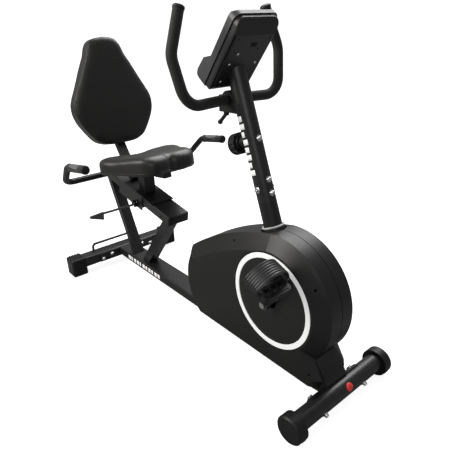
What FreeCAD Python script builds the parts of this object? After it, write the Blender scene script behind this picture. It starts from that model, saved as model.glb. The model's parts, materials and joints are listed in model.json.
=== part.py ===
import FreeCAD, Part
import math
import os

# Recumbent exercise bike, in millimetres. +X points forward (from the seat to the crank), +Y to the
# rider's left and +Z up. Everything is laid out from a datum below the crank housing and is moved by
# BASE_X on export, so that the origin is on the floor at the middle of the footprint.

V = FreeCAD.Vector
BASE_X = 124.7            # moves the layout datum to the middle of the footprint
GAP = 0.3                 # clear air between curved faces of different pieces
FIT = 0.05                # radial clearance of a running fit
SIDES = (-1, 1)           # right, left

# Floor frame
RAIL_HALF, RAIL_BOTTOM, RAIL_TOP, RAIL_WALL = 44.0, 45.0, 87.0, 3.0
RAIL_FRONT = 500.0
REAR_FRONT_X, REAR_BACK_X = -791.0, -858.0
REAR_BOTTOM, REAR_TOP, REAR_HALF = 34.0, 84.0, 270.0
FLANGE_X = -785.0
FRONT_AXIS = (568.0, 50.0)          # x, z of the round front stabilizer
FRONT_R, FRONT_HALF = 30.0, 196.0
CAP_R, CAP_Z, CAP_INNER, CAP_OUTER = 46.0, 46.0, 196.3, 233.0
WHEEL_AXIS, WHEEL_R, WHEEL_Y, WHEEL_HALF = (588.0, 37.0), 25.5, 209.5, 8.0
WHEEL_PIN_R = 4.0
BOLT_R, BOLT_HOLE_R = 4.0, 4.3
REAR_BOLTS = ((88.0, 66.0), (137.0, 54.0))      # y, z on the flange
FRONT_BOLT_Y, FRONT_BOLT_TILT = 98.0, 20.0

# Mast
MAST_FOOT, MAST_LEAN = V(429.9, 0, RAIL_TOP), 19.13     # point on the axis, lean back in degrees
MAST_UP = V(-math.sin(math.radians(MAST_LEAN)), 0, math.cos(math.radians(MAST_LEAN)))
MAST_REAR = V(-math.cos(math.radians(MAST_LEAN)), 0, -math.sin(math.radians(MAST_LEAN)))
MAST_R, MAST_BORE = 30.0, 27.5
MAST_SEAM, MAST_TOP = 548.0, 1010.0                     # distances along the axis
SPIGOT_R = 27.4
MAST_BOLTS_FRONT, MAST_BOLTS_SIDE = (572.0, 615.0), 590.0
KNOB_AT = 744.0
KNOB_R = 35.0

# Crank, belt and flywheel
CRANK = V(343.0, 0, 310.0)
CRANK_LENGTH, CRANK_ANGLE = 156.0, 58.3
CRANK_INNER, CRANK_OUTER = 98.0, 112.0
PEDAL_CENTRE = CRANK + V(math.cos(math.radians(CRANK_ANGLE)), 0,
                         math.sin(math.radians(CRANK_ANGLE))) * CRANK_LENGTH
AXLE_R, AXLE_END = 7.45, 113.0
SHELL_R, SHELL_BORE = 20.0, 16.0
SHELL_Y = (-36.0, 31.0)
PULLEY_R, SMALL_PULLEY_R = 130.0, 20.0
BELT_Y = (33.0, 43.0)
FLYWHEEL = V(-5.0, 0, 205.0)
FLYWHEEL_R, FLY_BEARING_R, FLY_AXLE_R = 105.0, 13.0, 6.0
MAGNET_PIVOT = V(82.0, 0, 278.0)
PEDAL_Y = (-222.0, -122.0)
PEDAL_LENGTH, PEDAL_THICK, PEDAL_TILT = 96.0, 26.0, 22.0
SPINDLE_R = 7.0
STRAP_X = (-38.0, 20.0)             # the strap's width along the pedal

# Crank cover
COVER_R, PANEL_R = 211.0, 172.0
COVER_EDGE_Y, PANEL_Y, COVER_WALL = 55.0, 79.0, 3.0
LIP_Y, LIP_RISE = 49.0, 8.0
SEAM_HALF, SEAM_DEPTH = 1.2, 1.2
COVER_SCREWS = ((158.0, 455.0), (507.0, 417.0), (512.0, 122.0), (-84.0, 300.0), (-50.0, 92.0))
RING_OUTER, RING_INNER, RING_THICK = 164.0, 147.0, 2.5

# Slide rail and seat
SLIDE_ORIGIN, SLIDE_TILT = V(-268.0, 0, 406.0), 11.0
SLIDE_LENGTH, SLIDE_HALF, SLIDE_THICK = 600.0, 50.0, 42.0
SEAT_ORIGIN, SEAT_TILT = V(-408.0, 0, 574.0), -6.5
BACK_ORIGIN, BACK_TILT = V(-680.0, 0, 670.0), -9.2
HANDLE_X, HANDLE_Z = -620.0, 537.0                        # the cross run of the seat handle
HANDLE_R, GRIP_R = 13.0, 16.0
LEVER_AT = V(-247.0, -64.0, -54.0)
BACK_BOLTS = (80.0, 180.0)                                # heights up the backrest
SEAT_BOLTS = ((-132.0, -52.0), (-132.0, 52.0), (-50.0, -52.0), (-50.0, 52.0))

# Handlebar and console
BAR_AXIS = V(96.0, 0, 905.0)
BAR_R, FOAM_R = 12.7, 16.5
CLAMP_HALF = 22.0
CONSOLE_ORIGIN, CONSOLE_TILT = V(60.0, 0, 953.0), 39.0
CONSOLE_LENGTH, CONSOLE_HALF = 243.0, 80.0
CONSOLE_CORNER = 24.0
CONSOLE_SCREWS = ((34.0, -52.0), (98.0, -50.0), (134.0, -36.0), (98.0, 52.0), (34.0, 52.0))
BUTTON_SPOTS = (-30.0, 0.0, 30.0)

os.makedirs("parts", exist_ok=True)


# ---- helpers -------------------------------------------------------------------------------------
def box(x0, x1, y0, y1, z0, z1):
    return Part.makeBox(x1 - x0, y1 - y0, z1 - z0, V(x0, y0, z0))


def rod(radius, start, end):
    return Part.makeCylinder(radius, (end - start).Length, start, end - start)


def yrod(radius, x, z, y0, y1):
    return Part.makeCylinder(radius, y1 - y0, V(x, y0, z), V(0, 1, 0))


def join(*shapes):
    return shapes[0].multiFuse(list(shapes[1:])).removeSplitter()


def group(shapes):
    return Part.makeCompound(shapes)


def mirror(shape):
    return shape.mirror(V(0, 0, 0), V(0, 1, 0))


def prism(points, y0, y1):
    """A plate from an outline of (x, z) points."""
    outline = [V(x, y0, z) for x, z in points]
    return Part.Face(Part.makePolygon(outline + outline[:1])).extrude(V(0, y1 - y0, 0))


def turned(shape, origin, tilt):
    """Carry a shape from a local frame to the layout frame: tilt about Y, then move."""
    moved = shape.copy()
    moved.rotate(V(0, 0, 0), V(0, 1, 0), tilt)
    moved.translate(origin)
    return moved


def bend(points, radii):
    """A wire of straight runs joined by tangent arcs."""
    edges = []
    start = points[0]
    for before, corner, after, radius in zip(points, points[1:], points[2:], radii):
        to_before = (before - corner).normalize()
        to_after = (after - corner).normalize()
        half = to_before.getAngle(to_after) / 2
        back = radius / math.tan(half)
        first = corner + to_before * back
        last = corner + to_after * back
        middle_way = (to_before + to_after).normalize()
        middle = corner + middle_way * (radius / math.sin(half) - radius)
        edges.append(Part.LineSegment(start, first).toShape())
        edges.append(Part.Arc(first, middle, last).toShape())
        start = last
    edges.append(Part.LineSegment(start, points[-1]).toShape())
    return Part.Wire(edges)


def pipe(wire, radius):
    first = wire.Edges[0]
    start = first.valueAt(first.FirstParameter)
    direction = first.tangentAt(first.FirstParameter)
    profile = Part.Wire(Part.makeCircle(radius, start, direction))
    return Part.Solid(wire.makePipeShell([profile], True, False))


def soft(shape, radius, along=None):
    """Round the edges of a solid; along limits it to edges that run in one direction."""
    edges = shape.Edges
    if along is not None:
        edges = [e for e in edges if len(e.Vertexes) == 2
                 and abs((e.Vertexes[1].Point - e.Vertexes[0].Point).normalize().dot(along)) > 0.99]
    return shape.makeFillet(radius, edges)


def mast_point(distance):
    return MAST_FOOT + MAST_UP * distance


def save(name, shape):
    moved = shape.copy()
    moved.translate(V(BASE_X, 0, 0))
    moved.exportStep("parts/" + name + ".step")


def mast_rod(radius, start, end):
    return rod(radius, mast_point(start), mast_point(end))


def bolt_on(spot, outward, reach):
    """A bolt with a domed head and a washer; spot is where the washer sits, reach the shank's length."""
    washer = rod(10, spot, spot + outward * 1.6)
    neck = rod(7, spot + outward * 1.6, spot + outward * 5)
    dome = Part.makeSphere(7, spot + outward * 5).common(rod(8, spot + outward * 4, spot + outward * 10))
    shank = rod(BOLT_R, spot - outward * reach, spot + outward)
    return join(washer, neck, dome, shank)


# ---- floor frame ---------------------------------------------------------------------------------
def rear_bolt_axes():
    return [(side * y, z) for side in SIDES for y, z in REAR_BOLTS]


def front_bolt_axis():
    tilt = math.radians(FRONT_BOLT_TILT)
    return V(math.cos(tilt), 0, -math.sin(tilt))


def front_bolt_holes():
    way = front_bolt_axis()
    centres = [V(FRONT_AXIS[0], side * FRONT_BOLT_Y, FRONT_AXIS[1]) for side in SIDES]
    return [rod(BOLT_HOLE_R, c - way * 45, c + way * 45) for c in centres]


def main_rail():
    outer = soft(box(FLANGE_X, RAIL_FRONT, -RAIL_HALF, RAIL_HALF, RAIL_BOTTOM, RAIL_TOP), 5, V(1, 0, 0))
    inner = box(FLANGE_X, RAIL_FRONT, -RAIL_HALF + RAIL_WALL, RAIL_HALF - RAIL_WALL,
                RAIL_BOTTOM + RAIL_WALL, RAIL_TOP - RAIL_WALL)
    flange = box(REAR_FRONT_X, FLANGE_X, -152, 152, 38, 80)
    holes = [rod(BOLT_HOLE_R, V(REAR_FRONT_X - 5, y, z), V(FLANGE_X + 5, y, z))
             for y, z in rear_bolt_axes()]
    return join(outer.cut(inner), flange).cut(group(holes))


def rear_stabilizer():
    wall = 3
    outer = soft(box(REAR_BACK_X, REAR_FRONT_X, -REAR_HALF, REAR_HALF, REAR_BOTTOM, REAR_TOP), 7, V(0, 1, 0))
    inner = box(REAR_BACK_X + wall, REAR_FRONT_X - wall, -REAR_HALF, REAR_HALF,
                REAR_BOTTOM + wall, REAR_TOP - wall)
    holes = [rod(BOLT_HOLE_R, V(REAR_BACK_X - 5, y, z), V(FLANGE_X + 5, y, z))
             for y, z in rear_bolt_axes()]
    return outer.cut(inner).cut(group(holes))


def rear_caps():
    body = box(REAR_BACK_X - 6, REAR_FRONT_X + 6, 226, 300, 0, 90)
    body = soft(body, 9)
    body = join(body, box(REAR_BACK_X + 8, REAR_FRONT_X - 8, 236, 290, 0, 12))
    pocket = box(REAR_BACK_X - 0.2, REAR_FRONT_X + 0.2, 220, REAR_HALF + GAP, REAR_BOTTOM - 0.2,
                 REAR_TOP + 0.2)
    cap = body.cut(soft(pocket, 6.5, V(0, 1, 0)))
    return group([mirror(cap), cap])


def rear_lift_handle():
    x = -849
    wire = bend([V(x, -158, REAR_TOP), V(x, -158, 116), V(x, 60, 116), V(x, 60, REAR_TOP)], [16, 16])
    return pipe(wire, 6)


def front_stabilizer():
    x, z = FRONT_AXIS
    tube = yrod(FRONT_R, x, z, -FRONT_HALF, FRONT_HALF)
    tube = tube.cut(yrod(FRONT_R - 2.5, x, z, -FRONT_HALF, FRONT_HALF))
    return tube.cut(group(front_bolt_holes()))


def front_caps():
    x, z = FRONT_AXIS
    body = yrod(CAP_R, x, CAP_Z, CAP_INNER, CAP_OUTER)
    body = body.makeChamfer(5, [e for e in body.Edges if e.Closed and e.CenterOfMass.y > CAP_OUTER - 1])
    plug = yrod(FRONT_R - 2.8, x, z, CAP_INNER - 22, CAP_INNER + 1)
    wx, wz = WHEEL_AXIS
    slot = yrod(WHEEL_R + 1.5, wx, wz, WHEEL_Y - WHEEL_HALF - 1.5, WHEEL_Y + WHEEL_HALF + 1.5)
    pin = yrod(WHEEL_PIN_R, wx, wz, WHEEL_Y - WHEEL_HALF - 3, WHEEL_Y + WHEEL_HALF + 3)
    cap = join(body.cut(slot), plug, pin)
    return group([mirror(cap), cap])


def wheel(side):
    wx, wz = WHEEL_AXIS
    low, high = side * WHEEL_Y - WHEEL_HALF, side * WHEEL_Y + WHEEL_HALF
    tyre = yrod(WHEEL_R, wx, wz, low, high)
    tyre = tyre.makeFillet(2.5, [e for e in tyre.Edges if e.Closed])
    return tyre.cut(yrod(WHEEL_PIN_R + FIT, wx, wz, low - 1, high + 1))


def front_neck():
    x, z = FRONT_AXIS
    outer = prism([(440, RAIL_TOP), (440, 130), (480, 163), (511, 163), (551, 104), (560, 88),
                   (560, 50), (RAIL_FRONT, RAIL_BOTTOM), (RAIL_FRONT, RAIL_TOP)], -48, 48)
    inner = prism([(443, RAIL_TOP + 3), (443, 128), (481, 160), (509, 160), (547, 104), (530, 60),
                   (RAIL_FRONT + 3, RAIL_BOTTOM + 3), (RAIL_FRONT + 3, RAIL_TOP + 3)], -45, 45)
    saddle = yrod(FRONT_R + 4, x, z, -112, 112)
    saddle = saddle.cut(prism([(x - 14, z + 60), (x + 60, z + 60), (x + 60, z - 60), (x - 5, z - 60),
                               (x - 5, z)], -120, 120))
    body = join(outer.cut(inner), saddle).cut(mast_rod(MAST_R, -60, 200))
    return body.cut(yrod(FRONT_R, x, z, -130, 130)).cut(group(front_bolt_holes()))


def frame_bolts():
    rear = []
    for y, z in rear_bolt_axes():
        nut = bolt_on(V(FLANGE_X, y, z), V(1, 0, 0), 1)
        length = FLANGE_X - REAR_BACK_X
        shank = rod(BOLT_R, V(FLANGE_X, y, z), V(FLANGE_X - length - 1, y, z))
        head = rod(8.5, V(REAR_BACK_X, y, z), V(REAR_BACK_X - 4.5, y, z))
        rear.append(join(nut, shank, head))
    way = front_bolt_axis()
    front = []
    for side in SIDES:
        centre = V(FRONT_AXIS[0], side * FRONT_BOLT_Y, FRONT_AXIS[1])
        nut = bolt_on(centre + way * (FRONT_R - 0.5), way, 2 * FRONT_R + 4)
        head = rod(9, centre - way * (FRONT_R + 3.4), centre - way * (FRONT_R + 8))
        tube = yrod(FRONT_R, FRONT_AXIS[0], FRONT_AXIS[1], -120, 120)
        saddle = yrod(FRONT_R + 4, FRONT_AXIS[0], FRONT_AXIS[1], -120, 120)
        shank = rod(BOLT_R, centre - way * (FRONT_R + 4), centre + way * FRONT_R)
        front.append(join(nut.cut(tube), head.cut(saddle), shank))
    skin = mast_rod(MAST_R, MAST_SEAM - 20, MAST_TOP)
    mast = []
    for distance in MAST_BOLTS_FRONT:
        spot = mast_point(distance) - MAST_REAR * (MAST_R - 1.2)
        mast.append(mast_bolt(spot, MAST_REAR * -1, skin))
    for side in SIDES:
        spot = mast_point(MAST_BOLTS_SIDE) + V(0, side * (MAST_R - 1.2), 0)
        mast.append(mast_bolt(spot, V(0, side, 0), skin))
    spot = mast_point(KNOB_AT) - MAST_REAR * (MAST_R - 1.2)
    mast.append(mast_bolt(spot, MAST_REAR * -1, skin))
    return group(rear + front + mast)


def mast_bolt(spot, outward, skin):
    head = bolt_on(spot, outward, 0.5).cut(skin)
    shank = rod(BOLT_R, spot - outward * 8, spot + outward * 2)
    return join(head, shank)


def mast_bolt_holes():
    holes = []
    for distance in MAST_BOLTS_FRONT + (KNOB_AT,):
        centre = mast_point(distance)
        holes.append(rod(BOLT_HOLE_R, centre, centre - MAST_REAR * 40))
    centre = mast_point(MAST_BOLTS_SIDE)
    holes.append(rod(BOLT_HOLE_R, centre - V(0, 40, 0), centre + V(0, 40, 0)))
    return holes


# ---- seat frame ----------------------------------------------------------------------------------
def leaning_tube(foot_x, slope, half_depth, half_width, wall):
    """A rectangular tube that stands on the main rail and ends at the slide rail's underside."""
    fall = math.tan(math.radians(SLIDE_TILT))
    under = SLIDE_ORIGIN.z - SLIDE_THICK / math.cos(math.radians(SLIDE_TILT))

    def top(x_foot):
        rise = (under - fall * (x_foot - SLIDE_ORIGIN.x) - RAIL_TOP) / (1 + fall * slope)
        return (x_foot + slope * rise, RAIL_TOP + rise)

    def outline(inset):
        back, front = foot_x - half_depth + inset, foot_x + half_depth - inset
        return [(back, RAIL_TOP), (front, RAIL_TOP), top(front), top(back)]

    outer = prism(outline(0), -half_width, half_width)
    return outer.cut(prism(outline(wall), -half_width + wall, half_width - wall))


def seat_tube():
    return leaning_tube(-665.9, -0.4557, 16.5, 25, 2.5)


def seat_strut():
    return leaning_tube(-551.0, 0.80, 25.6, 25, 2.5)


def slide_rail():
    outer = soft(box(-SLIDE_LENGTH, 0, -SLIDE_HALF, SLIDE_HALF, -SLIDE_THICK, 0), 4, V(1, 0, 0))
    inner = box(-SLIDE_LENGTH + 3, -3, -SLIDE_HALF + 3, SLIDE_HALF - 3, -SLIDE_THICK + 3, -3)
    slots = [box(-x - 7, -x, 33, 39, -4, 1) for x in range(30, 560, 22)]
    return turned(outer.cut(inner).cut(group(slots)), SLIDE_ORIGIN, SLIDE_TILT)


# ---- mast ----------------------------------------------------------------------------------------
def post_stub():
    body = join(mast_rod(MAST_R, -25, MAST_SEAM), mast_rod(SPIGOT_R, MAST_SEAM - 1, MAST_SEAM + 105))
    body = body.cut(mast_rod(MAST_BORE - 3, -60, MAST_SEAM + 106))
    body = body.cut(box(300, 600, -60, 60, 0, RAIL_TOP))
    shell = yrod(SHELL_R, CRANK.x, CRANK.z, *SHELL_Y)
    body = join(body.cut(group(mast_bolt_holes())).cut(cable_solid(4.5)), shell)
    return body.cut(yrod(SHELL_BORE, CRANK.x, CRANK.z, -60, 60))


def front_post():
    body = mast_rod(MAST_R, MAST_SEAM + 0.2, MAST_TOP).cut(mast_rod(MAST_BORE, MAST_SEAM - 1, MAST_TOP + 1))
    body = body.cut(turned(box(-200, 5, -60, 60, -60, 300), CONSOLE_ORIGIN, CONSOLE_TILT))
    knob_hole = rod(6.5, mast_point(KNOB_AT), mast_point(KNOB_AT) + MAST_REAR * 40)
    return body.cut(group(mast_bolt_holes() + [knob_hole]))


def post_collar():
    low, high = 425, 466
    body = Part.makeCone(41, 35, high - low, mast_point(low), MAST_UP)
    return body.cut(mast_rod(MAST_R + GAP, low - 1, high + 1))


# ---- crank cover ---------------------------------------------------------------------------------
def cover_wire(y, inset, panel=False, rise=0.0):
    """The cover's outline at height y; panel picks the smaller outline of the flat side panel."""
    d, k = inset, rise
    radius = (PANEL_R if panel else COVER_R) - d + k
    start, middle, end = math.radians(-41.5), math.radians(28), math.radians(97)

    def round_point(angle):
        return V(CRANK.x + radius * math.cos(angle), y, CRANK.z + radius * math.sin(angle))

    if panel:
        toe, tip = V(508 - d, y, 76 + d), V(526 - d, y, 106)
        top_mid, top_end = V(117, y, 404 - d), V(-96 + d, y, 291 - d)
        heel, nose, foot = V(-102 + d, y, 281 - d), V(-113 + d, y, 210), V(-46 + d, y, 76 + d)
    else:
        toe, tip = V(524 - d, y, 61 + d), V(546 - d, y, 104)
        top_mid, top_end = V(117, y, 457 - d + k), V(-100 + d - k, y, 341 - d)
        heel, nose, foot = V(-108 + d - k, y, 326 - d), V(-127 + d - k, y, 208), V(-50 + d, y, 61 + d)
    edges = [Part.LineSegment(toe, tip), Part.LineSegment(tip, round_point(start)),
             Part.Arc(round_point(start), round_point(middle), round_point(end)),
             Part.Arc(round_point(end), top_mid, top_end), Part.LineSegment(top_end, heel),
             Part.Arc(heel, nose, foot), Part.LineSegment(foot, toe)]
    return Part.Wire([e.toShape() for e in edges])


def cover_slab(y0, y1, inset):
    return Part.Face(cover_wire(y0, inset, rise=LIP_RISE)).extrude(V(0, y1 - y0, 0))


def cover_loft(low, high):
    return Part.makeLoft([cover_wire(*low), cover_wire(*high)], True, True)


def cover_half():
    """The left shell."""
    w, s = COVER_WALL, SEAM_HALF
    lip = cover_loft((LIP_Y, 0, False, LIP_RISE), (COVER_EDGE_Y, 0))
    bevel = cover_loft((COVER_EDGE_Y, 0), (PANEL_Y, 0, True))
    outer = join(cover_slab(0, s, SEAM_DEPTH), cover_slab(s, LIP_Y, 0), lip, bevel)
    inner_lip = cover_loft((LIP_Y - w, w, False, LIP_RISE), (COVER_EDGE_Y - w, w))
    inner_bevel = cover_loft((COVER_EDGE_Y - w, w), (PANEL_Y - w, w, True))
    hollow = join(cover_slab(-1, LIP_Y - w, w + SEAM_DEPTH), inner_lip, inner_bevel)
    shell = outer.cut(hollow)
    for x, z in COVER_SCREWS:
        shell = join(shell, yrod(8, x, z, 38, 90).common(outer))
    cutters = [yrod(24, CRANK.x, CRANK.z, 0, 100),
               box(-300, 700, -1, RAIL_HALF + GAP, 0, RAIL_TOP + GAP),
               box(430, 570, -1, 48 + GAP, 0, 163.5),
               mast_rod(41.4, 380, 520)]
    cutters += [yrod(4.4, x, z, 54, 95) for x, z in COVER_SCREWS]
    cutters += [yrod(2.2, x, z, 30, 60) for x, z in COVER_SCREWS]
    groove = yrod(RING_OUTER + 5.5, CRANK.x, CRANK.z, PANEL_Y - 1.4, PANEL_Y + 2)
    groove = groove.cut(yrod(RING_OUTER + 0.8, CRANK.x, CRANK.z, PANEL_Y - 2, PANEL_Y + 3))
    return shell.cut(group(cutters)).cut(groove)


def cover_rings():
    ring = yrod(RING_OUTER, CRANK.x, CRANK.z, PANEL_Y, PANEL_Y + RING_THICK)
    ring = ring.cut(yrod(RING_INNER, CRANK.x, CRANK.z, PANEL_Y - 1, PANEL_Y + RING_THICK + 1))
    ring = ring.makeFillet(1, [e for e in ring.Edges if e.Closed and e.CenterOfMass.y > PANEL_Y + 1])
    return group([mirror(ring), ring])


def case_screws():
    screws = []
    for x, z in COVER_SCREWS:
        screw = join(yrod(4, x, z, 54, 57), yrod(2, x, z, 49, 55))
        screws += [screw, mirror(screw)]
    for a, y in CONSOLE_SCREWS:
        screws.append(turned(join(rod(4.5, V(28, y, a), V(30.5, y, a)), rod(2, V(14, y, a), V(29, y, a))),
                             CONSOLE_ORIGIN, CONSOLE_TILT))
    return group(screws)


# ---- drive ---------------------------------------------------------------------------------------
def bearings():
    def ring(centre, y0, y1, outer, inner):
        return yrod(outer, centre.x, centre.z, y0, y1).cut(yrod(inner, centre.x, centre.z, y0 - 1, y1 + 1))

    crank_bore = AXLE_R + FIT
    return group([ring(CRANK, SHELL_Y[0], SHELL_Y[0] + 9, SHELL_BORE, crank_bore),
                  ring(CRANK, SHELL_Y[1] - 9, SHELL_Y[1], SHELL_BORE, crank_bore),
                  ring(FLYWHEEL, -28, -20, FLY_BEARING_R, FLY_AXLE_R),
                  ring(FLYWHEEL, 36, 44, FLY_BEARING_R, FLY_AXLE_R)])


def crank_axle():
    axle = yrod(AXLE_R, CRANK.x, CRANK.z, -AXLE_END, AXLE_END)
    nuts = [yrod(10, CRANK.x, CRANK.z, AXLE_END - 1, AXLE_END + 5),
            yrod(10, CRANK.x, CRANK.z, -AXLE_END - 5, -AXLE_END + 1)]
    return join(axle, *nuts)


def crank_arm(side):
    reach = (PEDAL_CENTRE - CRANK) * (-side)
    end = CRANK + reach
    y0, y1 = sorted((side * CRANK_INNER, side * CRANK_OUTER))
    across = V(-reach.z, 0, reach.x).normalize()
    corners = [CRANK + across * 15, CRANK - across * 15, end - across * 11, end + across * 11]
    web = prism([(p.x, p.z) for p in corners], y0, y1)
    boss = yrod(17, CRANK.x, CRANK.z, min(side * 90, y1), max(side * 90, y0))
    arm = join(web, yrod(15, end.x, end.z, y0, y1), yrod(18, CRANK.x, CRANK.z, y0, y1), boss)
    return arm.cut(yrod(AXLE_R, CRANK.x, CRANK.z, -130, 130)).cut(yrod(SPINDLE_R, end.x, end.z, -130, 130))


def drive_pulley():
    y0, y1 = BELT_Y
    rim = yrod(PULLEY_R, CRANK.x, CRANK.z, y0, y1).cut(yrod(PULLEY_R - 10, CRANK.x, CRANK.z, y0 - 1, y1 + 1))
    web = yrod(PULLEY_R - 9, CRANK.x, CRANK.z, y0 + 3, y1 - 3)
    windows = []
    for step in range(6):
        angle = math.radians(60 * step)
        windows.append(yrod(26, CRANK.x + 76 * math.cos(angle), CRANK.z + 76 * math.sin(angle), 0, 60))
    hub = yrod(24, CRANK.x, CRANK.z, y0 - 1, y1 + 12)
    body = join(web.cut(group(windows)), rim, hub)
    return body.cut(yrod(AXLE_R, CRANK.x, CRANK.z, 0, 80))


def belt_loop(big, small):
    """The outline round both pulleys at the given radii."""
    gap = FLYWHEEL - CRANK
    apart = gap.Length
    way = math.atan2(gap.z, gap.x)
    lean = math.acos((big - small) / apart)

    def at(centre, radius, angle):
        return V(centre.x + radius * math.cos(angle), BELT_Y[0], centre.z + radius * math.sin(angle))

    upper, lower = way - lean, way + lean
    edges = [Part.LineSegment(at(CRANK, big, upper), at(FLYWHEEL, small, upper)),
             Part.Arc(at(FLYWHEEL, small, upper), at(FLYWHEEL, small, way), at(FLYWHEEL, small, lower)),
             Part.LineSegment(at(FLYWHEEL, small, lower), at(CRANK, big, lower)),
             Part.Arc(at(CRANK, big, lower), at(CRANK, big, way + math.pi), at(CRANK, big, upper))]
    return Part.Face(Part.Wire([e.toShape() for e in edges])).extrude(V(0, BELT_Y[1] - BELT_Y[0], 0))


def drive_belt():
    skim = 0.05
    outer = belt_loop(PULLEY_R + 2.6, SMALL_PULLEY_R + 2.6)
    return outer.cut(belt_loop(PULLEY_R + skim, SMALL_PULLEY_R + skim))


def flywheel():
    x, z = FLYWHEEL.x, FLYWHEEL.z
    rim = yrod(FLYWHEEL_R, x, z, -16, 8).cut(yrod(78, x, z, -17, 9))
    web = yrod(79, x, z, -7, -1)
    hub = yrod(18, x, z, -28, 33)
    small = yrod(SMALL_PULLEY_R, x, z, BELT_Y[0], 44)
    body = join(rim, web, hub, small)
    return body.cut(yrod(FLY_BEARING_R + FIT, x, z, -40, 60))


def flywheel_axle():
    x, z = FLYWHEEL.x, FLYWHEEL.z
    axle = yrod(FLY_AXLE_R, x, z, -46, 54)
    return join(axle, yrod(10, x, z, -46, -40), yrod(10, x, z, 50, 55))


def flywheel_fork():
    outline = [(-35, RAIL_TOP + 3), (45, RAIL_TOP + 3), (100, 268), (92, 290), (72, 290), (-15, 225),
               (-30, 205)]
    plates = []
    for y0, y1, f0, f1 in ((-40, -36, -40, -20), (46, 50, 28, 50)):
        foot = box(-35, 45, f0, f1, RAIL_TOP, RAIL_TOP + 3)
        plates.append(join(prism(outline, y0, y1), foot))
    pin = yrod(4, MAGNET_PIVOT.x, MAGNET_PIVOT.z, -38, 48)
    body = join(plates[0], plates[1], pin)
    return body.cut(yrod(FLY_AXLE_R, FLYWHEEL.x, FLYWHEEL.z, -60, 60))


def magnet_arm():
    x, z = FLYWHEEL.x, FLYWHEEL.z
    band = yrod(121, x, z, -22, 14).cut(yrod(108, x, z, -23, 15))
    start, end = math.radians(38), math.radians(112)
    far = 220
    wedge = prism([(x, z)] + [(x + far * math.cos(a), z + far * math.sin(a))
                              for a in (start, (start + end) / 2, end)], -30, 30)
    boss = yrod(9, MAGNET_PIVOT.x, MAGNET_PIVOT.z, -22, 14)
    body = join(band.common(wedge), boss)
    return body.cut(yrod(107.5, x, z, -30, 30)).cut(yrod(4 + FIT, MAGNET_PIVOT.x, MAGNET_PIVOT.z, -30, 30))


def cable_wire():
    start = mast_point(KNOB_AT)
    leave = mast_point(400)
    return bend([start, leave, V(180, 0, 380), V(20, 0, 345)], [60, 60])


def cable_solid(radius):
    return pipe(cable_wire(), radius)


# ---- pedals --------------------------------------------------------------------------------------
def pedal_spindles():
    start, end = -PEDAL_Y[0] + 3, CRANK_INNER
    right = yrod(SPINDLE_R, PEDAL_CENTRE.x, PEDAL_CENTRE.z, -start, -end)
    far = CRANK * 2 - PEDAL_CENTRE
    left = yrod(SPINDLE_R, far.x, far.z, end, start)
    return group([right, left])


def pedal_local():
    """The right pedal about its spindle, tread up."""
    y0, y1 = PEDAL_Y
    half, thick = PEDAL_LENGTH / 2, PEDAL_THICK / 2
    body = box(-half, half, y0, y1, -thick, thick)
    body = soft(body, 14, V(0, 0, 1))
    for low, high in ((-half + 14, -13), (13, half - 14)):
        for step in range(3):
            y = y0 + 12 + step * 27
            body = body.cut(box(low, high, y, y + 20, -thick - 1, thick + 1))
    return body.cut(yrod(SPINDLE_R + FIT, 0, 0, y0 - 1, y1 + 1))


def strap_arch(grow):
    """The strap's side outline across the pedal: it bulges past both sides and meets over the toe."""
    y0, y1 = PEDAL_Y[0] - GAP, PEDAL_Y[1] + GAP
    centre, half = (y0 + y1) / 2, (y1 - y0) / 2 + grow
    x = STRAP_X[0]
    low = [V(x, centre - half, -7), V(x, centre + half, -7)]
    over = [V(x, centre - half, 9), V(x, centre - half - 14, 28), V(x, centre - half * 0.76, 54 + grow),
            V(x, centre, 64 + grow), V(x, centre + half * 0.72, 52 + grow), V(x, centre + half + 4, 27),
            V(x, centre + half, 9)]
    curve = Part.BSplineCurve()
    curve.interpolate(over)
    edges = [Part.LineSegment(low[0], over[0]).toShape(), curve.toShape(),
             Part.LineSegment(over[-1], low[1]).toShape(), Part.LineSegment(low[1], low[0]).toShape()]
    return Part.Face(Part.Wire(edges)).extrude(V(STRAP_X[1] - STRAP_X[0], 0, 0))


def strap_local():
    band = strap_arch(3).cut(strap_arch(0))
    return band.cut(yrod(SPINDLE_R + 2, 0, 0, PEDAL_Y[0] - 20, PEDAL_Y[1] + 20))


def place_pedal(shape, side):
    placed = shape.copy()
    placed.rotate(V(0, 0, 0), V(0, 1, 0), PEDAL_TILT)
    placed.translate(PEDAL_CENTRE)
    if side > 0:
        placed = mirror(shape)
        placed.rotate(V(0, 0, 0), V(0, 1, 0), PEDAL_TILT)
        placed.translate(CRANK * 2 - PEDAL_CENTRE)
    return placed


# ---- handlebar -----------------------------------------------------------------------------------
def bar_points(side, start_y):
    return [V(96, side * start_y, 905), V(96, side * 60, 905), V(112, side * 189, 903),
            V(86, side * 213, 1046), V(73, side * 166, 1168)]


def handlebar():
    right, left = bar_points(-1, 30), bar_points(1, 30)
    points = right[::-1][:-1] + left[1:]
    wire = bend(points, [70, 62, 150, 150, 62, 70])
    return pipe(wire, BAR_R).cut(pipe(wire, BAR_R - 2))


def bar_foam():
    sleeves = []
    for side in SIDES:
        points = bar_points(side, 30)
        wire = bend([points[0]] + points[1:], [150, 62, 70])
        sleeves.append(pipe(wire, FOAM_R).cut(pipe(wire, BAR_R + 0.1)))
    return group(sleeves)


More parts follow.
